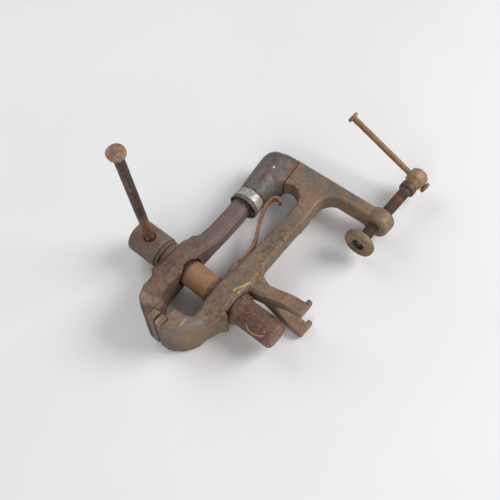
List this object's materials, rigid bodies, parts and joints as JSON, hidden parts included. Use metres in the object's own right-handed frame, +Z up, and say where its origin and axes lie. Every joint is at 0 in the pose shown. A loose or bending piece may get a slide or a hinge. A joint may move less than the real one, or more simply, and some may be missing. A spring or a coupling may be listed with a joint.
{
  "type": "clamp-on bench leg vice",
  "caption": "Small forged leg vice lying on its side: hinged jaw on a screw with a sliding handle, leaf spring, and a forked screw clamp for a bench edge.",
  "frame": {"origin": "centre of the footprint, on the surface the vice lies on", "axes": "+X from the main screw's head towards the closed end of the screw box, +Y from the jaws down the legs to the bench clamp, +Z up across the width of the jaws"},
  "size_m": [0.2458, 0.3914, 0.2271],
  "materials": {
    "forged_frame": "yellow-brown forged iron with light rust",
    "forged_jaw": "purple-brown forged iron",
    "jaw_plate_steel": "worn steel with brown stain",
    "maroon_box": "maroon-brown, scratched",
    "brazed_thread": "dull, brazed in",
    "socket_iron": "dark grey with red-brown spots",
    "zinc_collar": "pale dull zinc",
    "rusted_spring": "ochre-orange rust",
    "screw_iron": "brown, worn smooth",
    "handle_iron": "dark brown, worn smooth",
    "knob_iron": "orange-brown rust",
    "clamp_iron": "near-black brown to tan",
    "pad_iron": "brown, pitted",
    "ochre_bar": "ochre rust"
  },
  "bodies": {
    "fixed_side": {"fixed_frame": "forged_frame", "fixed_jaw_plate": "jaw_plate_steel", "screw_box": "maroon_box", "nut_thread": "brazed_thread", "box_end_cap": "maroon_box", "hinge_pin": "socket_iron", "spring_rivet": "rusted_spring"},
    "moving_side": {"moving_jaw": "forged_jaw", "moving_jaw_plate": "jaw_plate_steel", "leg_socket": "socket_iron", "socket_collar": "zinc_collar", "socket_bush": "forged_jaw", "tail_pin": "socket_iron"},
    "spring": {"leaf_spring": "rusted_spring"},
    "washer": {"thrust_washer": "forged_jaw"},
    "screw": {"main_screw": "screw_iron"},
    "handle": {"handle_bar": "handle_iron", "handle_knob_upper": "knob_iron", "handle_knob_lower": "knob_iron"},
    "pad": {"clamp_pad": "pad_iron"},
    "bench_screw": {"clamp_screw": "clamp_iron"},
    "bench_screw_bar": {"clamp_bar": "ochre_bar", "clamp_bar_head_upper": "ochre_bar", "clamp_bar_head_lower": "ochre_bar"}
  },
  "joints": [
    {"name": "jaw_swing", "type": "hinge", "parent": "fixed_side", "child": "moving_side", "pos_m": [-0.03765, 0.0937, 0.031], "axis": [0, 0, -1], "range_deg": [-0.6, 9.72]},
    {"name": "spring_flex", "type": "hinge", "parent": "fixed_side", "child": "spring", "pos_m": [0.00625, -0.0611, 0.031], "axis": [0, 0, 1], "range_deg": [-0.35, 5.55]},
    {"name": "screw_travel", "type": "slide", "parent": "fixed_side", "child": "washer", "axis": [-1, 0, 0], "range_m": [-0.0023, 0.0372]},
    {"name": "screw_turn", "type": "hinge", "parent": "washer", "child": "screw", "pos_m": [-0.00835, -0.1111, 0.031], "axis": [-1, 0, 0], "range_deg": [-165, 2678]},
    {"name": "handle_slide", "type": "slide", "parent": "screw", "child": "handle", "axis": [0, -0.0767, 0.9971], "range_m": [-0.165, 0]},
    {"name": "pad_travel", "type": "slide", "parent": "fixed_side", "child": "pad", "axis": [0, -1, 0], "range_m": [-0.023, 0.05]},
    {"name": "bench_screw_turn", "type": "hinge", "parent": "pad", "child": "bench_screw", "pos_m": [0.10215, 0.1835, 0.031], "axis": [0, -1, 0], "range_deg": [-3312, 7200]},
    {"name": "bench_screw_bar_slide", "type": "slide", "parent": "bench_screw", "child": "bench_screw_bar", "axis": [-0.9191, 0, 0.3939], "range_m": [-0.101, 0]}
  ],
  "couplings": [
    {"joint": "screw_travel", "follows": "screw_turn", "m_per_rad": 0.00079577},
    {"joint": "jaw_swing", "follows": "screw_turn", "ratio": 0.0036271},
    {"joint": "spring_flex", "follows": "screw_turn", "ratio": 0.0020674},
    {"joint": "pad_travel", "follows": "bench_screw_turn", "m_per_rad": 0.00039789}
  ]
}
